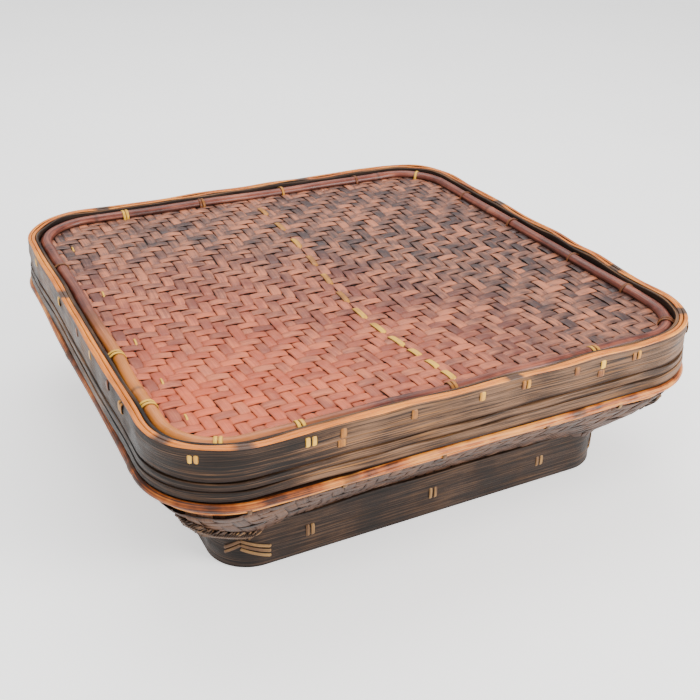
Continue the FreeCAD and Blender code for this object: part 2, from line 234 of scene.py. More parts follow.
def bump_at(ring, places, width):
    """A smooth 0 to 1 bump round the ring at each (side, offset) place."""
    total = np.zeros(ring.count)
    for side, offset in places:
        middle = side * ring.length / 4 + ring.centre + offset
        gap = np.abs(ring.s[:-1] - middle)
        gap = np.minimum(gap, ring.length - gap)
        total = np.maximum(total, np.clip(3.0 - gap / width * 3.0, 0, 1))
    return total


def across_of(section):
    """Cumulative distance round a closed section of (out, z) points."""
    return travelled(np.concatenate([section, section[:1]]))


def strip_section(out_low, out_high, z_low, z_high, rounding, splits=5):
    """Outline of a flat board on edge, corners eased, its outer face divided."""
    r = rounding
    face = [(out_high, z) for z in np.linspace(z_low + r, z_high - r, splits)]
    back = [(out_low, z) for z in np.linspace(z_high - r, z_low + r, 3)]
    ease = 0.3 * r
    points = [(out_high - r, z_low), (out_high - ease, z_low + ease)] + face
    points += [(out_high - ease, z_high - ease), (out_high - r, z_high),
               (out_low + r, z_high), (out_low + ease, z_high - ease)] + back
    points += [(out_low + ease, z_low + ease), (out_low + r, z_low)]
    return np.array(points)


def sweep(skin, ring, section, out_shift=0.0, z_shift=0.0, tone=(0.5, 0.5, 0.0), shade=0.0,
          looks=None):
    """A closed hoop of one section, pushed about by shifts: rows along it, columns round it."""
    shape = (ring.count, len(section))
    out = section[None, :, 0] + np.broadcast_to(out_shift, shape)
    height = section[None, :, 1] + np.broadcast_to(z_shift, shape)
    tone = np.asarray(tone, float)
    if tone.ndim == 2:
        tone = tone[:, None, :]
    skin.sheet(ring.points(out, height), ring.s, across_of(section), tone, shade, True, looks)


def face_waves(ring, section, face, size, low, high, seed):
    """Shallow ridges along the columns of a section that lie on its outer face."""
    pattern = np.zeros((ring.count, len(section)))
    for column in np.nonzero(section[:, 0] > face - 0.1 * MM)[0]:
        pattern[:, column] = ring.wave(size, low, high, seed + int(column))
    return pattern


def smoothed(points, rounds=3):
    """Corner cutting, so that a bent strand has no sharp folds."""
    points = np.asarray(points, float)
    for _ in range(rounds):
        first = 0.75 * points[:-1] + 0.25 * points[1:]
        second = 0.25 * points[:-1] + 0.75 * points[1:]
        cut = np.stack([first, second], 1).reshape(-1, points.shape[1])
        points = np.concatenate([points[:1], cut, points[-1:]])
    return points


def ribbon(skin, line, flat, up, profile, width, thick, tone, shade, wrap=False):
    """A strip of one profile along a line: flat is its width's direction, up its skin's."""
    grid = line[:, None, :] \
        + flat[:, None, :] * (profile[None, :, :1] * np.reshape(width, (-1, 1, 1))) \
        + up[:, None, :] * (profile[None, :, 1:] * thick)
    along = travelled(np.concatenate([line, line[:1]]) if wrap else line)
    section = profile * np.array([float(np.mean(width)), thick])
    skin.sheet(grid, along, across_of(section), tone, shade, wrap)


STRAND_PROFILE = np.array([(-0.5, -0.5), (0.5, -0.5), (0.5, 0.05), (0.36, 0.42), (0.0, 0.62),
                           (-0.36, 0.42), (-0.5, 0.05)])
# Painted shade and grime on each strand: darkest on its underside and edges, none on its crown.
STRAND_EDGE = np.array([1.0, 1.0, 0.65, 0.1, 0.0, 0.1, 0.65])


def strand(skin, path, flat_side, width, thick, tone, face=None):
    """A flat cane strand along a path; flat_side is its width, face where its skin looks."""
    ahead = unit(np.gradient(path, axis=0))
    flat = np.broadcast_to(np.asarray(flat_side, float), path.shape)
    flat = unit(flat - ahead * np.sum(flat * ahead, axis=1)[:, None])
    up = np.cross(flat, ahead)
    if face is not None and np.sum(up * face) < 0:
        flat, up = -flat, -up
    ribbon(skin, path, flat, up, STRAND_PROFILE, width, thick, tone, STRAND_EDGE[None, :])


def local_path(outline, side, offset, centre, shift=0.0):
    """(out, z) points stood up across a side at an offset; shift moves them along it."""
    base, normal = side_point(side, offset, centre)
    tangent = np.array([-normal[1], normal[0]])
    outline = np.asarray(outline, float)
    flat = base + outline[:, :1] * normal + shift * tangent
    path = np.column_stack([flat, outline[:, 1]])
    return path, np.array([tangent[0], tangent[1], 0.0])


# ---- Materials ---------------------------------------------------------------------
def colour(text):
    """Linear colour from an sRGB hex string."""
    parts = [int(text[index:index + 2], 16) / 255 for index in (0, 2, 4)]
    return [part / 12.92 if part <= 0.04045 else ((part + 0.055) / 1.055) ** 2.4
            for part in parts] + [1.0]


class Nodes:
    """Short forms for building a node tree."""

    def __init__(self, name):
        self.material = bpy.data.materials.new(name)
        self.material.use_nodes = True
        self.tree = self.material.node_tree
        self.shader = self.tree.nodes["Principled BSDF"]

    def set(self, socket, value):
        """Link a socket, or give it a number or colour."""
        if hasattr(value, "is_output"):
            self.tree.links.new(value, socket)
        else:
            socket.default_value = value

    def node(self, kind, *values, **settings):
        """A node of one kind; values go to its first inputs, in their order."""
        node = self.tree.nodes.new("ShaderNode" + kind)
        for name, setting in settings.items():
            setattr(node, name, setting)
        for socket, value in zip(node.inputs, values):
            self.set(socket, value)
        return node

    def attribute(self, name, output):
        return self.node("Attribute", attribute_name=name).outputs[output]

    def place(self):
        return self.node("TexCoord").outputs["Object"]

    def maths(self, operation, first, second, clamp=False):
        return self.node("Math", first, second, operation=operation,
                         use_clamp=clamp).outputs[0]

    def noise(self, vector, scale, detail=2.0, rough=0.55):
        """Noise at one scale, or at one scale for each axis."""
        if not isinstance(scale, float):
            vector = self.node("VectorMath", vector, scale, operation="MULTIPLY").outputs[0]
            scale = 1.0
        no_w = 0.0
        return self.node("TexNoise", vector, no_w, scale, detail, rough).outputs[0]

    def ramp(self, factor, stops):
        node = self.node("ValToRGB", factor)
        elements = node.color_ramp.elements
        while len(elements) < len(stops):
            elements.new(0.5)
        for element, (place, value) in zip(elements, stops):
            element.position = place
            element.color = value
        return node.outputs[0]

    def mix(self, factor, first, second, mode="MIX"):
        node = self.node("Mix", factor, data_type="RGBA", blend_type=mode)
        self.set(node.inputs[6], first)
        self.set(node.inputs[7], second)
        return node.outputs[2]

    def grey(self, value):
        return self.node("CombineColor", value, value, value).outputs[0]

    def spread(self, value, low, high, new_low, new_high):
        """A value from low to high, moved to the new range and held inside it."""
        return self.node("MapRange", value, low, high, new_low, new_high).outputs[0]


def bamboo(name, tones, shade_and_grime, rough, fibre, bump, painted_highlight=None, knot=None, tone_weight=0.55,
           streak_weight=0.3, float_weight=0.2, gilt=None, coat=0.0, specular=0.35):
    """Split bamboo or cane: streaks along the grain, each strip its own tone, painted shade and
    dirt in dips.

    tones: dark, middle and light colours; painted_highlight: (colour, place, reach) of a painted
    highlight;
    knot: the colour of the node scars that tone's third value marks; gilt: the colour of
    the paler lines where the skin has worn through."""
    n = Nodes(name)
    grain = n.attribute("grain", "Vector")
    strip_tone, strip_warmth, scar = n.node("SeparateXYZ", n.attribute("tone", "Vector")).outputs
    shade = n.attribute("shade", "Fac")
    fibres = n.noise(grain, (50, 2600, 9.1), 2.0, 0.6)
    streaks = n.noise(grain, (16, 1200, 5.3), 3.0, 0.6)
    bands = n.noise(grain, (9, 520, 2.9), 4.0, 0.7)
    blotch = n.noise(grain, (55, 50, 3.7), 3.0, 0.55)
    place = n.place()
    cloud = n.noise(place, 11.0, 3.0, 0.6)
    level = n.spread(streaks, 0.32, 0.68, -streak_weight, streak_weight)
    for part in (n.spread(bands, 0.32, 0.68, -streak_weight, streak_weight),
                 n.spread(strip_tone, 0.0, 1.0, 0.5 - tone_weight, 0.5 + tone_weight),
                 n.spread(cloud, 0.35, 0.65, -0.10, 0.10)):
        level = n.maths("ADD", level, part)
    level = n.maths("ADD", level, n.spread(blotch, 0.3, 0.7, -float_weight, float_weight),
                    clamp=True)
    body = n.ramp(level, list(zip((0.1, 0.5, 0.9), map(colour, tones))))
    if gilt:
        worn = n.spread(n.noise(grain, (13, 560, 7.7), 3.0, 0.6), 0.55, 0.7, 0.0, 0.7)
        worn = n.maths("MULTIPLY", worn, n.spread(strip_tone, 0.2, 0.7, 0.15, 1.0))
        body = n.mix(worn, body, colour(gilt))
    # A painted highlight: the colour turns warmer and brighter near a lit place.
    if painted_highlight:
        highlight_colour, highlight_place, highlight_reach = painted_highlight
        distance = n.node("VectorMath", place, highlight_place, operation="DISTANCE")
        near = n.spread(distance.outputs["Value"], 0.03, highlight_reach, 0.85, 0.0)
        near = n.maths("MULTIPLY", near, n.spread(strip_warmth, 0.0, 1.0, 0.55, 1.15))
        highlight_body = n.mix(n.maths("MULTIPLY", near, 0.75, clamp=True), body, colour(highlight_colour))
        body = n.mix(n.spread(streaks, 0.3, 0.7, 0.0, 0.25), highlight_body, body)
    lines = n.spread(fibres, 0.32, 0.68, 1.0 - fibre, 1.0 + 0.35 * fibre)
    body = n.mix(1.0, body, n.grey(lines), "MULTIPLY")
    if knot:
        body = n.mix(n.maths("MULTIPLY", scar, 0.92, clamp=True), body, colour(knot))
    # Painted shade and dirt: the shade attribute darkens the colour towards the dark shade
    # colour.
    shade_and_dirt = n.maths("MULTIPLY", shade, n.spread(blotch, 0.2, 0.8, 0.8, 1.15), clamp=True)
    n.set(n.shader.inputs["Base Color"], n.mix(shade_and_dirt, body, colour(shade_and_grime)))
    gloss = n.spread(blotch, 0.3, 0.7, *rough)
    gloss = n.maths("ADD", gloss, n.maths("MULTIPLY", shade_and_dirt, 0.2), clamp=True)
    n.set(n.shader.inputs["Roughness"], gloss)
    relief = n.maths("ADD", n.maths("MULTIPLY", fibres, 0.45),
                     n.maths("MULTIPLY", streaks, 0.8))
    raised = n.node("Bump")
    raised.inputs["Strength"].default_value = bump
    raised.inputs["Distance"].default_value = 0.4 * MM
    n.set(raised.inputs["Height"], relief)
    n.set(n.shader.inputs["Normal"], raised.outputs[0])
    n.shader.inputs["Specular IOR Level"].default_value = specular
    if coat:
        n.shader.inputs["Coat Weight"].default_value = coat
        n.shader.inputs["Coat Roughness"].default_value = 0.35
    return n.material


SHADE_AND_GRIME = "1c100c"
# The middle of the painted highlight on the woven top and the rim.
NEAR_CORNER = (-0.17, -0.17, RIM_TOP)
weave_look = bamboo(
    "woven_bamboo", ("3f2c2b", "7a5142", "bc7454"), SHADE_AND_GRIME, rough=(0.34, 0.55), fibre=0.25,
    bump=0.3, painted_highlight=("f0642e", NEAR_CORNER, 0.3), tone_weight=0.3, streak_weight=0.18,
    float_weight=0.42)
tray_look = bamboo(
    "tray_bamboo", ("1d1410", "4a3226", "70503c"), SHADE_AND_GRIME, rough=(0.4, 0.62), fibre=0.3, bump=0.4,
    tone_weight=0.25, streak_weight=0.15, specular=0.2)
rim_look = bamboo(
    "rim_bamboo", ("8a3f12", "d87420", "fba63c"), "2e170b", rough=(0.3, 0.5), fibre=0.35,
    bump=0.45, painted_highlight=("ff9420", NEAR_CORNER, 0.45), knot="3a3431", tone_weight=0.15,
    streak_weight=0.25)
wall_look = bamboo(
    "wall_bamboo", ("140d09", "3a281c", "7a5a42"), SHADE_AND_GRIME, rough=(0.36, 0.6), fibre=0.45, bump=0.8,
    tone_weight=0.3, streak_weight=0.36, float_weight=0.1, gilt="a06a34", specular=0.2)
foot_look = bamboo(
    "foot_bamboo", ("0e0a08", "281b14", "4e3a2c"), SHADE_AND_GRIME, rough=(0.38, 0.6), fibre=0.45, bump=0.7,
    tone_weight=0.2, streak_weight=0.3, float_weight=0.15, gilt="54391f", specular=0.18)
rod_look = bamboo(
    "rod_bamboo", ("431f16", "74382a", "a05c44"), "1c100c", rough=(0.26, 0.44), fibre=0.2,
    bump=0.22, painted_highlight=("ff9c2c", (-0.2, -0.13, RIM_TOP), 0.15), knot="3a2a22", tone_weight=0.25,
    streak_weight=0.25, coat=0.1)
hoop_look = bamboo(
    "hoop_bamboo", ("3c1a0a", "a8541c", "df8f3a"), "20130c", rough=(0.28, 0.5), fibre=0.35,
    bump=0.4, knot="46301f", tone_weight=0.3, streak_weight=0.28, float_weight=0.3, specular=0.25)
cane_look = bamboo(
    "cane", ("6e3a18", "b87826", "f0b838"), "2c180a", rough=(0.28, 0.5), fibre=0.25, bump=0.3,
    tone_weight=0.45, streak_weight=0.1)
old_cane_look = bamboo(
    "old_cane", ("33221a", "6a4a2e", "a9814a"), "1a100b", rough=(0.4, 0.6), fibre=0.3, bump=0.35,
    tone_weight=0.4, streak_weight=0.15, specular=0.25)
raw_look = bamboo(
    "raw_bamboo", ("7a5a3a", "a8844f", "c9a76c"), "3a2818", rough=(0.45, 0.65), fibre=0.4,
    bump=0.5, tone_weight=0.2, streak_weight=0.25)

# ---- Lid bands and rim ---------------------------------------------------------------
RIM_SCARS = [
    (1, 0.140), (1, -0.068), (0, 0.072), (3, 0.222), (2, -0.043), (2, 0.190), (3, -0.168),
    (0, -0.100), (3, 0.030)]
lid_ring = Ring(LID_CENTRE, LID_HALF - LID_CENTRE)
rim_wobble = lid_ring.wave(0.4 * MM, 4, 26, 3)
rim_sway = lid_ring.wave(0.35 * MM, 3, 16, 4)
rim_scars = bump_at(lid_ring, RIM_SCARS, 8 * MM)


def ring_tone(ring, seed, scars=None, spread=0.16):
    """Slow changes of tone along one hoop, with its node scars."""
    tone = np.zeros((ring.count, 3))
    tone[:, 0] = 0.5 + ring.wave(spread, 2, 30, seed)
    tone[:, 1] = 0.5 + ring.wave(0.2, 2, 20, seed + 50)
    if scars is not None:
        tone[:, 2] = scars
    return np.clip(tone, 0, 1)


# Painted light and shade on the lid's bands: lighter towards the lit front right, darker round
# the shaded near-left corner.
SHADED_CORNERS = [(3, -0.225), (2, 0.19)]
SUN_SIDE = [(3, 0.10)]
painted_light_and_shade = (bump_at(lid_ring, SUN_SIDE, 260 * MM) * 0.3
               - bump_at(lid_ring, SHADED_CORNERS, 110 * MM) * 0.6)[:, None] * (1.0, 0.0, 0.0)


def lid_board(skin, half, thick, low, high, seed, rise=0.0, look_top=1, ridges=0.0,
              splits=9, scars=rim_scars, top_wobble=1.0, lift=0.0):
    """A board bent round the lid: its top edge wanders, its face has shallow ridges."""
    inner = half - thick + 0.25 * MM - LID_CENTRE
    section = strip_section(inner, half - LID_CENTRE, low, high, 0.7 * MM, splits)
    out, level = section[:, 0], section[:, 1]
    top = np.clip((level - low) / (high - low), 0, 1) ** 2
    high_edge = rim_wobble * top_wobble + lid_ring.wave(0.3 * MM, 6, 40, seed) + rise
    low_edge = lid_ring.wave(0.18 * MM, 5, 30, seed + 9) \
        + bump_at(lid_ring, [(3, -0.2)], 130 * MM) * lift
    z_shift = np.outer(high_edge, top) + np.outer(low_edge, 1 - top)
    pattern = face_waves(lid_ring, section, half - LID_CENTRE, 0.6, 2, 18, seed * 31)
    # Painted shade: darker along the lower edge over the hoop, darkest on the inner face in the
    # gap behind the band.
    shade = np.where(level < low + 1.2 * MM, 0.75, 0.0)
    shade[out < inner + 0.2 * MM] = 0.9
    on_top = level >= high - 0.75 * MM
    tone = np.clip(ring_tone(lid_ring, seed) + painted_light_and_shade, 0, 1)
    tone = np.repeat(tone[:, None, :], len(section), 1)
    if scars is not None:
        tone[:, on_top, 2] = scars[:, None]
    looks = np.where(on_top & np.roll(on_top, -1), look_top, 0)
    sweep(skin, lid_ring, section, rim_sway[:, None] + pattern * ridges, z_shift, tone,
          shade[None, :], looks)


def lid_piece(name, materials, slot_name, node, *boards):
    """One or more boards as a piece of the lid."""
    skin = Skin()
    for place, settings in boards:
        lid_board(skin, *place, **settings)
    skin.build(name, materials, "lid", slot_name, node)


inside = PANEL_HIGH[0]
lower_middle = LOWER_LOW[2] + 0.58 * (LOWER_HIGH[2] - LOWER_LOW[2])
lower_style = {"look_top": 0, "ridges": 0.3 * MM, "splits": 6, "scars": None, "top_wobble": 0.2}
lid_piece("upper_band", [wall_look, rim_look], "dark_bamboo", "lid_outer_upper_band",
          ((LID_HALF, UPPER_THICK, UPPER_LOW[2], RIM_TOP, 21), {"ridges": 0.35 * MM}))
lid_piece("lower_band", [wall_look], "dark_bamboo", "lid_outer_lower_band",
          ((LOWER_HIGH[0] - 0.3 * MM, 4 * MM, lower_middle + 0.15 * MM, LOWER_HIGH[2], 31),
           lower_style),
          ((LOWER_HIGH[0] + 0.4 * MM, 4.7 * MM, LOWER_LOW[2], lower_middle - 0.15 * MM, 33),
           dict(lower_style, lift=1.6 * MM)))
lid_piece("core_band", [wall_look, rim_look], "rim_bamboo", "lid_core_band",
          ((CORE_HIGH[0], CORE_HIGH[0] - inside, CORE_LOW[2], RIM_TOP - 0.2 * MM, 41),
           {"rise": -0.1 * MM}))
lid_piece("rim_filler", [wall_look, wall_look], "rim_bamboo", "lid_rim_filler",
          ((inside, LINER_THICK, PANEL_HIGH[2], RIM_TOP - 0.5 * MM, 51),
           {"rise": -0.3 * MM, "splits": 3}))
lid_piece("liner_band", [raw_look], "raw_bamboo", "lid_liner_band",
          ((inside, LINER_THICK, LINER_LOW[2], LINER_HIGH[2] - 0.3 * MM, 61),
           {"look_top": 0, "splits": 3, "scars": None, "top_wobble": 0.0}))

# ---- Clamping rod ----------------------------------------------------------------------
ROD_NODES = [
    (2, -0.105), (2, -0.150), (3, 0.213), (0, -0.129), (1, 0.150), (0, 0.070), (3, -0.06),
    (1, -0.15), (2, 0.12), (3, 0.09)]
rod_outer = ROD_HIGH[0]
rod_inner = rod_outer - ROD_WIDTH
ROD_TOP = ROD_HIGH[2]

# A flat-bottomed, round-topped section.
rod = Skin()
rod_foot = PANEL_HIGH[2] + 0.2 * MM
rod_section = [(rod_inner + 0.8 * MM, rod_foot), (rod_outer - 0.8 * MM, rod_foot)]
for angle in math.pi * np.linspace(0.06, 0.94, 9):
    rod_section.append((rod_outer + (math.cos(angle) - 1) * ROD_WIDTH / 2,
                        rod_foot + (ROD_TOP - PANEL_HIGH[2]) * (0.12 + 0.88 * math.sin(angle))))
rod_section = np.array(rod_section) - np.array([LID_CENTRE, 0])
rod_swell = bump_at(lid_ring, ROD_NODES, 5 * MM)
rod_scar = bump_at(lid_ring, ROD_NODES, 1.8 * MM)
rod_centre = rod_section.mean(0)
rod_grow = (rod_section - rod_centre)[None] * (0.10 * rod_swell - 0.05 * rod_scar)[:, None, None]
rod_sway = lid_ring.wave(0.45 * MM, 3, 18, 71)
rod_rise = lid_ring.wave(0.25 * MM, 4, 20, 72)
# Painted shade on the rod's underside and lower sides, where it sits on the panel.
rod_shade = np.zeros((1, len(rod_section)))
rod_shade[:, :2] = 0.8
rod_shade[:, (2, -1)] = 0.55
sweep(rod, lid_ring, rod_section, rod_sway[:, None] + rod_grow[:, :, 0],
      rod_rise[:, None] + rod_grow[:, :, 1], ring_tone(lid_ring, 73, rod_scar * 0.7), rod_shade)
rod.build("clamping_rod", [rod_look], "lid", "red_bamboo", "lid_clamping_rod")

# ---- Lashings round the rod and stitches through the wall --------------------------------
ROD_WRAPS = [
    (1, 0.122, 0.95, 2), (1, 0.046, 0.05, 2), (1, -0.040, 0.5, 1), (1, -0.124, 0.15, 1),
    (0, 0.207, 0.9, 1), (0, 0.115, 0.1, 1), (0, 0.034, 0.05, 1), (0, -0.058, 0.05, 1),
    (0, -0.129, 0.0, 1), (3, 0.207, 0.05, 2), (2, 0.065, 0.95, 2), (2, 0.140, 0.95, 2),
    (2, -0.105, 0.1, 1), (3, -0.186, 0.95, 2), (3, -0.125, 0.95, 2), (3, -0.012, 0.35, 2),
    (3, 0.109, 0.5, 2)]
WALL_STITCHES = [
    (3, -0.200, 0.75, 2, 0), (3, -0.1245, 0.85, 2, 0), (3, -0.102, 0.30, 1, 1),
    (3, -0.050, 0.55, 1, 0), (3, 0.003, 0.85, 1, 0), (3, 0.039, 0.25, 2, 0),
    (3, 0.083, 0.3, 1, 0), (3, 0.106, 0.75, 1, 1), (3, 0.137, 0.4, 2, 0), (2, -0.130, 0.85, 2, 0),
    (2, -0.046, 0.7, 1, 0), (2, 0.013, 0.15, 1, 0), (2, 0.052, 0.6, 1, 0), (2, 0.098, 0.15, 1, 0),
    (2, 0.130, 0.6, 2, 0), (1, 0.120, 0.8, 2, 0), (1, 0.040, 0.3, 2, 0), (1, -0.040, 0.6, 2, 0),
    (1, -0.120, 0.4, 2, 0), (1, -0.205, 0.7, 2, 0), (0, 0.120, 0.4, 2, 0), (0, 0.040, 0.7, 2, 0),
    (0, -0.040, 0.3, 2, 0), (0, -0.120, 0.8, 2, 0), (0, -0.205, 0.4, 2, 0)]
lashings = Skin()
wrap_outline = [(PANEL_HIGH[0] - LINER_THICK + 1.0 * MM, ROD_TOP - 2.0 * MM),
                (rod_outer + 0.4 * MM, ROD_TOP - 1.6 * MM),
                (rod_outer - 2.5 * MM, ROD_TOP + 0.5 * MM),
                (rod_inner + 2.5 * MM, ROD_TOP + 0.5 * MM),
                (rod_inner - 0.5 * MM, ROD_TOP - 3.0 * MM),
                (rod_inner - 0.9 * MM, PANEL_HIGH[2] + 0.5 * MM),
                (rod_inner - 1.1 * MM, PANEL_LOW[2])]
wrap_outline = [(x - LID_CENTRE, z) for x, z in wrap_outline]
for side, offset, tone, count in ROD_WRAPS:
    for index in range(count):
        shift = (index - (count - 1) / 2) * 3.3 * MM + random.normal(0, 0.15 * MM)
        path, flat = local_path(wrap_outline, side, offset, LID_CENTRE, shift)
        lean = random.normal(0, 0.06)
        path[:, :2] += (np.linspace(-0.5, 0.5, len(path)) * lean * ROD_WIDTH)[:, None] * flat[:2]
        strand(lashings, smoothed(path), flat, 2.7 * MM, 0.8 * MM,
               (np.clip(tone + random.normal(0, 0.06), 0, 1), 0.5, 0))


def wall_stitch(skin, face, centre, side, offset, high, low, width, tone, count):
    """Short upright strands on a wall's face, their ends turned in."""
    for index in range(count):
        shift = (index - (count - 1) / 2) * (width + 0.9 * MM) + random.normal(0, 0.12 * MM)
        top = high + random.normal(0, 0.2 * MM)
        bottom = low + random.normal(0, 0.2 * MM)
        outline = [(face - 2.2 * MM, top - 0.3 * MM), (face + 0.25 * MM, top),
                   (face + 0.55 * MM, (top + bottom) / 2), (face + 0.25 * MM, bottom),
                   (face - 2.2 * MM, bottom + 0.3 * MM)]
        outline = [(x - centre, z) for x, z in outline]
        path, flat = local_path(outline, side, offset, centre, shift)
        strand(skin, smoothed(path), flat, width, CANE_THICK,
               (np.clip(tone + random.normal(0, 0.07), 0, 1), 0.5, 0),
               face=np.cross(flat, (0, 0, 1)))


for side, offset, tone, count, tab in WALL_STITCHES:
    wide = 3.3 * MM if count == 2 else 4.6 * MM
    wall_stitch(lashings, LID_HALF, LID_CENTRE, side, offset, RIM_TOP - 3.9 * MM,
                RIM_TOP - 11.0 * MM, wide, tone, count)
    if tab:
        wall_stitch(lashings, LID_HALF, LID_CENTRE, side, offset - 0.001, RIM_TOP - 11.8 * MM,
                    RIM_TOP - 17.2 * MM, 6.0 * MM, 0.2, 1)
lashings.build("rim_lashings", [cane_look], "lid", "cane", "lid_rim_lashings")


# ---- Weaving -------------------------------------------------------------------------
def twill_phase(count, turns):
    """Where each row's floats start: they step one way, and turn back at the given rows."""
    phase = [0]
    step = 1
    for row in range(1, count):
        if row in turns:
            step = -step
        phase.append(phase[-1] + step)
    return np.array(phase)


def float_height(position, states, amplitude):
    """Height of a strip along its length: states are +1 over and -1 under, one a crossing."""
    last = len(states) - 1
    position = np.clip(position, 0, last - 1e-6)
    left = position.astype(int)
    part = position - left
    first = states[left]
    second = states[np.minimum(left + 1, last)]
    blend = np.clip((part - 0.22) / 0.56, 0, 1)
    blend = blend * blend * (3 - 2 * blend)
    height = first + (second - first) * blend
    same = (first == second) & (first > 0)
    return amplitude * (height + np.where(same, 0.35 * np.sin(math.pi * part), 0))


STRIP_PROFILE = np.array([(-0.5, -0.35), (-0.47, 0.05), (-0.3, 0.42), (0.0, 0.55),
                          (0.3, 0.42), (0.47, 0.05), (0.5, -0.35), (0.0, -0.45)])
# Painted shade across a woven strip: darker at its edges, darkest on its underside.
STRIP_EDGE = np.array([0.6, 0.3, 0.0, 0.0, 0.0, 0.3, 0.6, 1.0])


def woven_strip(skin, line, flat, up, width, thick, tone, shade, wrap=False):
    """One flat strip of a weave, crowned across its width, with painted shade at its edges and
    underside.
    """
    shade_and_dirt = np.clip(shade[:, None] + STRIP_EDGE[None, :] * 0.8, 0, 1)
    ribbon(skin, line, flat, up, STRIP_PROFILE, width, thick, tone, shade_and_dirt, wrap)


def gap_filler(skin, line, flat, up):
    """A dark strip of painted shade between two strips, which closes the pinholes of the weave.
    """
    woven_strip(skin, line, flat, up, np.full(len(line), 3.0 * MM), 0.3 * MM,
                (0.0, 0.5, 0.0), np.ones(len(line)))


def strip_tone():
    """Each strip's own shade; a few are much darker or brighter."""
    value = random.normal(0.62, 0.16)
    if random.random() < 0.22:
        value = random.uniform(0.05, 0.3)
    return (float(np.clip(value, 0, 1)), float(random.random()), 0.0)


def flat_weave(skin, half, centre, middle, thick, count, turns, bend, per_crossing=5):
    """A twill panel inside a rounded square: strips along Y over and under strips along X."""
    pitch = 2 * half / count
    phase = twill_phase(count, turns)
    over = ((np.arange(count)[:, None] + phase[None, :]) % 4) < 2
    swing = 0.4 * thick

    def reach_at(place):
        """How far a strip at that place runs before it meets the rounded outline."""
        past = max(abs(place) - centre, 0)
        return half if past == 0 else centre + math.sqrt(max((half - centre) ** 2 - past ** 2, 0))

    for index in range(1, count):
        place = -half + index * pitch
        along = np.linspace(-reach_at(place), reach_at(place), count)
        flat_points = bend(np.stack([np.full(count, place), along], 1))
        line = np.column_stack([flat_points, np.full(count, middle)])
        flat = unit(np.cross(np.gradient(line, axis=0), UP))
        gap_filler(skin, line, flat, np.broadcast_to(UP, line.shape))
    for direction in (0, 1):
        for index in range(count):
            place = -half + (index + 0.5) * pitch
            reach = reach_at(place)
            samples = max(8, int(2 * reach / pitch * per_crossing))
            along = np.linspace(-reach, reach, samples)
            states = np.where(over[index, :] if direction == 0 else ~over[:, index], 1, -1)
            height = float_height((along + half) / pitch - 0.5, states, swing)
            wander = 0.35 * MM * np.sin(along * 31 + random.random() * 6.28) \
                + 0.3 * MM * np.sin(along * 67 + random.random() * 6.28)
            flat_points = [place + wander, along] if direction == 0 else [along, place + wander]
            flat_points = bend(np.stack(flat_points, 1))
            line = np.column_stack([flat_points, middle + height])
            ahead = np.gradient(line, axis=0)
            flat = unit(np.cross(ahead, UP))
            tones = np.tile(strip_tone(), (samples, 1))
            speckle = random.normal(0, 0.05, samples // per_crossing + 2)
            tones[:, 0] = np.clip(tones[:, 0] + np.interp(
                np.arange(samples) / per_crossing, np.arange(len(speckle)), speckle), 0, 1)
            ratio = 0.99 if direction == 0 else 0.97
            width = pitch * (ratio + 0.03 * np.sin(along * 45 + random.random() * 6.28))
            # Painted shade where a strip dips under its neighbours.
            woven_strip(skin, line, flat, unit(np.cross(flat, ahead)), width, 0.75 * MM,
                        tones[:, None, :], np.clip(-height / swing, 0, 1) * 0.9)


def panel_bend(points):
    """The lid's weave pulled out of square by hand: rows sag forward, columns bow left."""
    x, y = points[:, 0], points[:, 1]
    half = PANEL_HIGH[0]
    inside = np.clip(1 - (x / half) ** 2, 0, 1) * np.clip(1 - (y / half) ** 4, 0, 1)
    sag = 0.017 * np.exp(-((y + 0.055) / 0.12) ** 2)
    bow = 0.014 * np.exp(-((y + 0.06) / 0.11) ** 2) - 0.005 * np.clip(y / 0.17, 0, 1)
    return np.stack([x - bow * inside, y - sag * inside], 1)


PANEL_COUNT = 48
TRAY_COUNT = 36
panel = Skin()
panel_middle = (PANEL_LOW[2] + PANEL_HIGH[2]) / 2
flat_weave(panel, PANEL_HIGH[0] - 0.5 * MM, LID_CENTRE, panel_middle,
           PANEL_HIGH[2] - PANEL_LOW[2], PANEL_COUNT, (10, 19, 33), panel_bend)
panel.build("woven_panel", [weave_look], "lid", "woven_bamboo", "lid_woven_panel")

# ---- Centre seam: golden cane dashes, closer together towards the front -------------------
seam = Skin()
FIRST_DASH = 0.165
FIRST_GAP = 0.042
GAP_SHRINK = 0.0021
dash_y = FIRST_DASH
for index in range(12):
    length = 20 * MM if index < 9 else 15 * MM
    reach = length / 2
    heights = [PANEL_LOW[2] - 0.4 * MM, PANEL_HIGH[2] - 0.4 * MM, PANEL_HIGH[2] + 0.9 * MM,
               PANEL_HIGH[2] + 0.9 * MM, PANEL_HIGH[2] - 0.4 * MM, PANEL_LOW[2] - 0.4 * MM]
    places = [-reach - 0.4 * MM, -reach, -0.7 * reach, 0.7 * reach, reach, reach + 0.4 * MM]
    flat_points = panel_bend(np.stack([np.zeros(6), dash_y + np.array(places)], 1))
    path = np.column_stack([flat_points, heights])
    tone = 0.75 + 0.2 * random.random() if index > 5 else 0.45 + 0.3 * random.random()
    strand(seam, smoothed(path), (1, 0, 0), 5.2 * MM, 0.8 * MM, (tone, 0.5, 0))
    dash_y -= FIRST_GAP - index * GAP_SHRINK
seam.build("centre_stitches", [cane_look], "lid", "cane", "lid_centre_stitches")

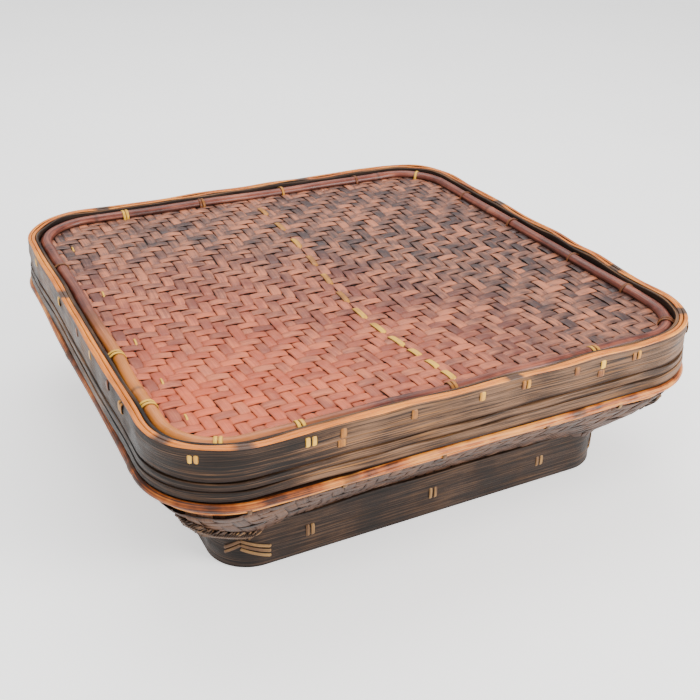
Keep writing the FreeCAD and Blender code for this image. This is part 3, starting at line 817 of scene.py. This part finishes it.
side_seam = Skin()
batten_low, batten_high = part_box("lid_side_batten")
side_x = (batten_low[0] + batten_high[0]) / 2
for dash_y in (0.148, 0.046, -0.044, -0.108, -0.159):
    reach = 4.4 * MM
    heights = [PANEL_LOW[2] - 0.4 * MM, PANEL_HIGH[2] + 0.2 * MM, PANEL_HIGH[2] + 0.9 * MM,
               PANEL_HIGH[2] + 0.2 * MM, PANEL_LOW[2] - 0.4 * MM]
    places = np.array([-1.1, -1.0, 0.0, 1.0, 1.1]) * reach + dash_y
    path = np.column_stack([np.linspace(side_x - 0.6 * MM, side_x + 0.6 * MM, 5), places,
                            heights])
    strand(side_seam, smoothed(path), (1, 0, 0), 1.7 * MM, 0.7 * MM, (0.95, 0.5, 0))
side_seam.build("side_stitches", [cane_look], "lid", "cane", "lid_side_stitches")


def plank(name, node, body):
    """A plain split-bamboo slat: a long box with eased edges, grain along Y."""
    low, high = (np.array(corner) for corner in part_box(node))
    skin = Skin()
    r = 0.6 * MM
    section = np.array([(low[0] + r, low[2]), (high[0] - r, low[2]), (high[0], low[2] + r),
                        (high[0], high[2] - r), (high[0] - r, high[2]), (low[0] + r, high[2]),
                        (low[0], high[2] - r), (low[0], low[2] + r)])
    along = np.linspace(low[1], high[1], 60)
    grid = np.zeros((len(along), len(section), 3))
    grid[:, :, 0] = section[None, :, 0]
    grid[:, :, 1] = along[:, None]
    grid[:, :, 2] = section[None, :, 1]
    skin.sheet(grid, along - low[1], across_of(section), (random.random(), 0.5, 0.0))
    skin.build(name, [raw_look], body, "raw_bamboo", node)


plank("centre_batten", "lid_centre_batten", "lid")
plank("side_batten", "lid_side_batten", "lid")
for number in (1, 2, 3):
    plank("slat_" + str(number), "floor_slat_" + str(number), "base")

# ---- Base rim ------------------------------------------------------------------------
HOOP_SCARS = [
    (3, -0.097), (3, 0.088), (2, -0.02), (2, 0.15), (1, 0.05), (0, 0.09), (0, -0.11), (1, -0.13)]
base_ring = Ring(LID_CENTRE, HOOP_HIGH[0] - LID_CENTRE)
hoop = Skin()
HOOP_FOOT = LID_HALF - 4 * MM            # the hoop's underside reaches out to here
HOOP_EDGE = LID_HALF + 1.6 * MM          # and its top edge to here
hoop_tall = HOOP_HIGH[2] - HOOP_LOW[2]
hoop_section = [(WALL_HIGH[0], HOOP_LOW[2])]
for share in np.linspace(0, 1, 12):
    belly = math.sin(math.pi * share ** 1.35)
    hoop_section.append((HOOP_FOOT + (HOOP_EDGE - HOOP_FOOT) * share
                         + belly * (HOOP_HIGH[0] - HOOP_FOOT - 3.6 * MM),
                         HOOP_LOW[2] + hoop_tall * (0.02 + 0.96 * share)))
hoop_section += [(HOOP_EDGE - 0.8 * MM, HOOP_HIGH[2]), (LID_HALF + 0.3 * MM, HOOP_HIGH[2]),
                 (WALL_HIGH[0], HOOP_HIGH[2])]
hoop_section = np.array(hoop_section) - np.array([LID_CENTRE, 0])
hoop_wave = base_ring.wave(0.3 * MM, 3, 14, 81)
hoop_sway = base_ring.wave(0.3 * MM, 3, 14, 82)
hoop_scar = bump_at(base_ring, HOOP_SCARS, 6 * MM)
outer_part = np.clip((hoop_section[:, 0] + LID_CENTRE - WALL_HIGH[0]) / (6 * MM), 0, 1)
# Painted shade on the hoop: dark on its underside over the strand and on the inner edge of its
# top, under the lid.
hoop_shade = np.zeros(len(hoop_section))
hoop_shade[:4] = (1.0, 0.95, 0.5, 0.15)
hoop_shade[-2:] = (0.9, 1.0)
# Painted shade round the near-left corner and the left side: the hoop's tone dulls and it
# darkens, most towards its underside.
painted_corner_shade = bump_at(base_ring, [(3, -0.21), (2, 0.15), (2, 0.05)], 120 * MM) ** 2
hoop_tone = ring_tone(base_ring, 83, hoop_scar * 0.75, 0.2)
hoop_tone[:, 0] = np.clip(hoop_tone[:, 0] + 0.12 - 0.5 * painted_corner_shade, 0, 1)
hoop_painted_shade = np.clip(hoop_shade[None, :] + np.outer(
    painted_corner_shade * 0.5, np.linspace(1.1, 0.2, len(hoop_section))), 0, 1)
sweep(hoop, base_ring, hoop_section, np.outer(hoop_sway + 0.4 * MM * hoop_scar, outer_part),
      np.outer(hoop_wave, outer_part) - 0.2 * MM, hoop_tone, hoop_painted_shade)
hoop.build("rim_hoop", [hoop_look], "base", "rim_bamboo", "base_rim_hoop")

collar = Skin()
sweep(collar, base_ring, strip_section(COLLAR_HIGH[0] - COLLAR_THICK - LID_CENTRE,
                                       COLLAR_HIGH[0] - LID_CENTRE, COLLAR_LOW[2],
                                       COLLAR_HIGH[2], 0.6 * MM, 4),
      0.0, 0.0, ring_tone(base_ring, 91), 0.1)
collar.build("collar", [raw_look], "base", "raw_bamboo", "base_collar")

under_strand = Skin()
strand_section = []
for index in range(10):
    angle = 2 * math.pi * index / 10
    strand_section.append((STRAND_HIGH[0] - 1.2 * MM - LID_CENTRE + 1.3 * MM * math.cos(angle),
                           (STRAND_LOW[2] + STRAND_HIGH[2]) / 2 + 1.6 * MM * math.sin(angle)))
strand_section = np.array(strand_section)
strand_sag = base_ring.wave(0.35 * MM, 8, 26, 95)[:, None]
sweep(under_strand, base_ring, strand_section, 0.3 * strand_sag, strand_sag,
      ring_tone(base_ring, 96) + np.array([0.35, 0, 0]))
under_strand.build("rim_strand", [hoop_look], "base", "foot_cane", "base_rim_strand")

loops = Skin()
LOOP_PLACES = [(3, -0.165), (3, -0.097), (3, -0.020), (3, 0.068), (3, 0.135)]
LOOP_PLACES += [(side, offset) for side in (0, 1, 2)
                for offset in (-0.16, -0.082, 0.0, 0.076, 0.158)]
strand_z = (STRAND_LOW[2] + STRAND_HIGH[2]) / 2
for side, offset in LOOP_PLACES:
    face = STRAND_HIGH[0] - LID_CENTRE
    outline = [(face - 3.5 * MM, strand_z + 3.6 * MM), (face + 0.2 * MM, strand_z + 3.2 * MM),
               (face + 0.9 * MM, strand_z), (face - 0.2 * MM, strand_z - 3.0 * MM),
               (face - 5.0 * MM, strand_z - 3.6 * MM)]
    path, flat = local_path(outline, side, offset, LID_CENTRE)
    strand(loops, smoothed(path), flat, 3.2 * MM, CANE_THICK,
           (random.uniform(0.4, 0.8), 0.5, 0), face=np.cross(flat, (0, 0, 1)))
loops.build("rim_loops", [old_cane_look], "base", "foot_cane", "base_rim_loops")

# ---- Woven wall of the tray -------------------------------------------------------------
# Each level of the wall: half width, corner middle and height on the sides, then the half
# width and height at the corners, where the weave is gathered and laps over the foot.
SLOPE = np.array([
    (FOOT_HALF - 3.4 * MM, FOOT_CENTRE, FOOT_HIGH[2] - 5 * MM, FOOT_HALF + 1.4 * MM,
     FOOT_HIGH[2] - 12 * MM),
    (FOOT_HALF - 3.4 * MM, FOOT_CENTRE, FOOT_HIGH[2], FOOT_HALF + 5 * MM,
     FOOT_HIGH[2] - 6 * MM),
    (WALL_HIGH[0] - 18 * MM, LID_CENTRE - 12 * MM, FOOT_HIGH[2] + 26.5 * MM,
     WALL_HIGH[0] - 8 * MM, FOOT_HIGH[2] + 23 * MM),
    (WALL_HIGH[0], LID_CENTRE, STRAND_LOW[2] - 2.2 * MM, WALL_HIGH[0] + 1.6 * MM,
     STRAND_LOW[2] - 6 * MM),
    (WALL_HIGH[0], LID_CENTRE, HOOP_LOW[2] + 6 * MM, WALL_HIGH[0], HOOP_LOW[2] + 6 * MM)])
SLOPE_LENGTHS = np.concatenate([[0], np.cumsum(np.hypot(np.diff(SLOPE[:, 0]),
                                                        np.diff(SLOPE[:, 2])))])
SLOPE_LENGTH = SLOPE_LENGTHS[-1]
STRAIGHT = 0.8                           # share of each side's turn that isn't corner
GATHER = 45 * MM                         # how far the gathers reach along a side


def wall_point(turn, climb):
    """A point of the tray's outer face: turn 0 to 1 round it, climb 0 to 1 up it."""
    turn = np.asarray(turn, float) % 1.0
    climb = np.clip(climb, 0, 1) * SLOPE_LENGTH
    level = [np.interp(climb, SLOPE_LENGTHS, SLOPE[:, column]) for column in range(5)]
    quarter = np.floor(turn * 4)
    part = turn * 4 - quarter
    along = np.where(part < STRAIGHT, part / STRAIGHT * 2 - 1, 1.0)
    angle = np.where(part < STRAIGHT, 0.0, (part - STRAIGHT) / (1 - STRAIGHT) * math.pi / 2)
    from_corner = np.where(part < STRAIGHT, (1 - np.abs(along)) * FOOT_CENTRE + 31 * MM,
                           np.abs(angle - math.pi / 4) * 40 * MM)
    gather = np.exp(-from_corner / GATHER)
    half = level[0] + (level[3] - level[0]) * gather
    centre = level[1]
    height = level[2] + (level[4] - level[2]) * gather
    x_flat = centre + (half - centre) * np.cos(angle)
    y_flat = centre * along + (half - centre) * np.sin(angle)
    swing = quarter * math.pi / 2
    return np.stack([x_flat * np.cos(swing) - y_flat * np.sin(swing),
                     x_flat * np.sin(swing) + y_flat * np.cos(swing),
                     np.broadcast_to(height, x_flat.shape)], -1)


def wall_frame(turn, climb):
    """The face's point, its outward normal and its direction round the tray."""
    e = 1e-3
    point = wall_point(turn, climb)
    around = wall_point(np.asarray(turn) + e, climb) - wall_point(np.asarray(turn) - e, climb)
    rise = wall_point(turn, np.clip(climb + e, 0, 1)) - wall_point(turn, np.clip(climb - e, 0, 1))
    around, rise = unit(around), unit(rise)
    return point, unit(np.cross(around, rise)), around, rise


STAKES = 176
WEAVERS = 9
tray = Skin()
wall_phase = twill_phase(WEAVERS, (5,))
wall_over = ((np.arange(STAKES)[:, None] + wall_phase[None, :]) % 4) < 2
WALL_SWING = 0.55 * MM                   # of a strip over and under the weave's middle
WALL_MIDDLE = 1.2 * MM                   # depth of the weave's middle below its outer face
for index in range(STAKES):
    climb = np.linspace(0, 1, WEAVERS * 5)
    turn = np.full_like(climb, (index + 0.5) / STAKES)
    point, normal, around, rise = wall_frame(turn, climb)
    states = np.where(wall_over[index], 1, -1)
    height = float_height(climb * WEAVERS - 0.5, states, WALL_SWING)
    line = point + normal * (height - WALL_MIDDLE)[:, None]
    nearby = wall_point(turn + 0.5 / STAKES, climb) - wall_point(turn - 0.5 / STAKES, climb)
    width = np.linalg.norm(nearby, axis=1) * 1.01
    # Painted shade where a stake dips under the weavers.
    woven_strip(tray, line, around, normal, width, 0.7 * MM, strip_tone(),
                np.clip(-height / WALL_SWING, 0, 1) * 0.8)
    point, normal, around, _ = wall_frame(np.full_like(climb, index / STAKES), climb)
    gap_filler(tray, point - normal * WALL_MIDDLE, around, normal)
for row in range(WEAVERS):
    samples = STAKES * 4
    turn = np.arange(samples) / samples
    climb = np.full(samples, (row + 0.5) / WEAVERS)
    point, normal, around, rise = wall_frame(turn, climb)
    states = np.where(wall_over[:, row], -1, 1)
    height = float_height(turn * STAKES - 0.5, states, WALL_SWING)
    line = point + normal * (height - WALL_MIDDLE)[:, None]
    nearby = wall_point(turn, climb + 0.5 / WEAVERS) - wall_point(turn, climb - 0.5 / WEAVERS)
    width = np.linalg.norm(nearby, axis=1) * 1.01
    # Painted shade where a weaver dips under the stakes.
    woven_strip(tray, line, rise, normal, width, 0.7 * MM, strip_tone(),
                np.clip(-height / WALL_SWING, 0, 1) * 0.8, wrap=True)
tray.build("woven_wall", [tray_look], "base", "woven_bamboo", "base_woven_wall")

floor = Skin()
flat_weave(floor, FLOOR_HIGH[0] - 0.3 * MM, FOOT_CENTRE, (FLOOR_LOW[2] + FLOOR_HIGH[2]) / 2,
           FLOOR_HIGH[2] - FLOOR_LOW[2], TRAY_COUNT, (9, 18, 27), lambda points: points, 4)
floor.build("woven_floor", [tray_look], "base", "woven_bamboo", "base_woven_floor")

# ---- Braided corner seams ---------------------------------------------------------------
# Each seam leaves the rim left of its corner, comes down the corner's ridge and ends on
# the foot's top edge, a little past the corner.
SEAM_ANGLES = ((0.0, -14), (0.3, 0), (0.6, 9), (0.8, 16), (1.0, 26))
SEAM_CLIMBS = ((0.0, 0.8), (0.3, 0.62), (0.6, 0.36), (0.8, 0.18), (1.0, 0.05))


def seam_line(corner, count):
    """Points down a seam, with the wall's normal and the direction across the seam."""
    share = np.linspace(0, 1, count)
    angle = np.interp(share, *zip(*SEAM_ANGLES)) + 45
    climb = np.interp(share, *zip(*SEAM_CLIMBS))
    past = np.maximum(angle - 90, 0) / 90
    part = STRAIGHT + (1 - STRAIGHT) * np.minimum(angle, 90) / 90 + past * 0.35
    turn = (corner + part) / 4
    point, normal, _, _ = wall_frame(turn, climb)
    point = smoothed(point, 2)
    index = np.linspace(0, count - 1, len(point))
    normal = np.stack([np.interp(index, np.arange(count), normal[:, axis])
                       for axis in range(3)], 1)
    return point, normal, unit(np.cross(normal, np.gradient(point, axis=0)))


braids = Skin()
BRAID_TURNS = 11
BRAID_SWING = 3.0 * MM                   # how far each strand swings from the seam
BRAID_TUFTS = 60                         # cut ends that stand out along a seam
for corner in range(4):
    point, normal, side = seam_line(corner, 60)
    share = np.linspace(0, 1, len(point))
    for part in range(3):
        twist = share * 2 * math.pi * BRAID_TURNS + part * 2 * math.pi / 3
        grown = np.clip(share / 0.15, 0.15, 1)
        line = point + side * (BRAID_SWING * grown * np.sin(twist))[:, None] \
            + normal * (grown * (1.6 * MM + 1.0 * MM * np.sin(2 * twist)))[:, None]
        strand(braids, line, side, 3.6 * MM, 1.3 * MM, (random.uniform(0.2, 0.6), 0.5, 0),
               face=normal)
    for index in range(BRAID_TUFTS):
        step = (4 + index * 0.93 + random.uniform(0.1, 0.9)) / BRAID_TUFTS
        place = int(step * (len(point) - 1))
        ahead = unit(point[min(place + 1, len(point) - 1)] - point[max(place - 1, 0)])
        across = unit(side[place] * random.choice([-1, 1]) + ahead * random.uniform(0.2, 0.9))
        reach = random.uniform(5, 9) * MM
        tuft = point[place] + across * np.linspace(0, 1, 5)[:, None] * reach \
            + normal[place] * (np.array([1.6, 2.2, 1.9, 1.0, -0.3]) * MM)[:, None]
        strand(braids, tuft, ahead, random.uniform(1.2, 2.2) * MM, 0.7 * MM,
               (random.uniform(0.0, 0.5), 0.5, 0), face=normal[place])
braids.build("corner_braids", [old_cane_look], "base", "foot_cane")

# ---- Foot ---------------------------------------------------------------------------------
foot_ring = Ring(FOOT_CENTRE, FOOT_HALF - FOOT_CENTRE)
FOOT_SCARS = [(0, 0.03), (1, -0.05), (2, 0.06)]


def foot_board(name, half, thick, high, material, seed, node, slot_name):
    """A board bent round the foot, with a wandering top edge."""
    skin = Skin()
    section = strip_section(half - thick - FOOT_CENTRE + 0.15 * MM, half - FOOT_CENTRE, 0.0,
                            high, 0.7 * MM, 10)
    top = (section[:, 1] / high) ** 2
    z_shift = np.outer(foot_ring.wave(0.35 * MM, 4, 16, seed), top)
    pattern = face_waves(foot_ring, section, half - FOOT_CENTRE, 0.18 * MM, 2, 14, seed * 7)
    # Painted shade along the board's bottom edge, where it meets the floor.
    shade = np.where(section[:, 1] < 1.0 * MM, 0.5, 0.0)
    sweep(skin, foot_ring, section, pattern, z_shift,
          ring_tone(foot_ring, seed, bump_at(foot_ring, FOOT_SCARS, 3 * MM) * 0.5),
          shade[None, :])
    skin.build(name, [material], "base", slot_name, node)


foot_board("foot_band", FOOT_HALF, FOOT_THICK, FOOT_HIGH[2], foot_look, 111,
           "foot_outer_band", "dark_bamboo")
foot_board("foot_backing", BACKING_HIGH[0], BACKING_THICK, BACKING_HIGH[2], raw_look, 121,
           "foot_backing_band", "raw_bamboo")

foot_cane = Skin()
for side in range(4):
    for offset in (-0.1, 0.0, 0.1):
        wall_stitch(foot_cane, FOOT_HALF, FOOT_CENTRE, side, offset + random.normal(0, 1.5 * MM),
                    24.5 * MM, 15.0 * MM, 3.0 * MM, random.uniform(0.55, 0.85), 2)
foot_cane.build("foot_stitches", [old_cane_look], "base", "foot_cane", "foot_stitches")


FAN_PITCH = 4.2 * MM


def corner_fan(name, quarter, node):
    """Cane strands that fan from a foot corner's top over its face, both ways."""
    skin = Skin()
    radius = FOOT_HALF - FOOT_CENTRE + 0.5 * MM
    for way in (-1, 1):
        for index in range(3 if way > 0 else 2):
            start_z = FOOT_HIGH[2] - 12.5 * MM - index * 3.6 * MM
            end_z = FOOT_HIGH[2] - 21 * MM - index * FAN_PITCH
            share = np.linspace(0, 1, 24)
            first, last = (8, 31) if way > 0 else (-8, 5)
            reach = (first + (last - first) * share) * MM
            angle = way * np.minimum(reach / radius, math.pi / 4)
            beyond = np.maximum(reach - radius * math.pi / 4, 0)
            middle = math.pi / 4 + angle
            sink = np.clip((share - 0.93) / 0.07, 0, 1) * 1.6 * MM
            x = FOOT_CENTRE + (radius - sink) * np.cos(middle) - (way > 0) * beyond
            y = FOOT_CENTRE + (radius - sink) * np.sin(middle) - (way < 0) * beyond
            z = start_z + (end_z - start_z) * share
            path = np.stack([*spin((x, y), quarter * math.pi / 2), z], 1)
            strand(skin, path, (0, 0, 1), 2.6 * MM, 0.9 * MM,
                   (random.uniform(0.5, 0.8), 0.5, 0), face=path * (1, 1, 0))
    skin.build(name, [old_cane_look], "base", "foot_cane", node)


for quarter, place in enumerate(("back_right", "back_left", "front_left", "front_right")):
    corner_fan("foot_lashing_" + place + "_cane", quarter, "foot_lashing_" + place)

# ---- Floor, light and camera --------------------------------------------------------------
floor_mesh = bpy.data.meshes.new("studio_floor")
floor_mesh.from_pydata([(-4, -4, 0), (4, -4, 0), (4, 4, 0), (-4, 4, 0)], [], [(0, 1, 2, 3)])
studio_floor = linked("studio_floor", floor_mesh)
floor_nodes = Nodes("studio_floor")
floor_tint = floor_nodes.ramp(floor_nodes.noise(floor_nodes.place(), 3.0),
                              [(0.3, (0.9, 0.9, 0.9, 1)), (0.7, (0.94, 0.94, 0.94, 1))])
floor_nodes.set(floor_nodes.shader.inputs["Base Color"], floor_tint)
floor_nodes.shader.inputs["Roughness"].default_value = 0.6
floor_nodes.shader.inputs["Emission Color"].default_value = (1.0, 1.0, 1.0, 1.0)
floor_nodes.shader.inputs["Emission Strength"].default_value = 0.75
floor_mesh.materials.append(floor_nodes.material)


def area_light(name, place, target, size, power, tint=(1, 1, 1)):
    """A square lamp that looks at a target."""
    data = bpy.data.lights.new(name, "AREA")
    data.size = size
    data.energy = power
    data.color = tint
    lamp = linked(name, data)
    lamp.location = place
    aim = Vector(target) - Vector(place)
    lamp.rotation_euler = aim.to_track_quat("-Z", "Y").to_euler()


area_light("key", (1.1, -1.5, 0.9), (0.05, -0.1, 0.1), 0.9, 52, (1.0, 0.98, 0.95))
area_light("left", (-1.1, -0.7, 1.5), (-0.1, -0.1, 0.12), 0.8, 16, (1.0, 0.97, 0.92))
area_light("top", (0.2, 0.8, 1.7), (0, 0, 0.1), 1.4, 22)
world = bpy.data.worlds.new("studio")
world.use_nodes = True
world.node_tree.nodes["Background"].inputs[0].default_value = (1.0, 1.0, 1.0, 1.0)
world.node_tree.nodes["Background"].inputs[1].default_value = 0.85
bpy.context.scene.world = world

CAMERA_RIGHT = Vector((0.8914, -0.4529, 0.0170))
CAMERA_BACK = Vector((-0.4052, -0.7796, 0.4775)).normalized()
CAMERA_PLACE = Vector((-0.3457, -0.6958, 0.3430 + RIM_TOP))
camera_data = bpy.data.cameras.new("camera")
camera_data.sensor_width = 36.0
camera_data.lens = 51.85
camera = linked("camera", camera_data)
side_way = (CAMERA_RIGHT - CAMERA_BACK * CAMERA_RIGHT.dot(CAMERA_BACK)).normalized()
up_way = CAMERA_BACK.cross(side_way)
camera.matrix_world = Matrix((side_way, up_way, CAMERA_BACK)).transposed().to_4x4()
camera.matrix_world.translation = CAMERA_PLACE
bpy.context.scene.camera = camera
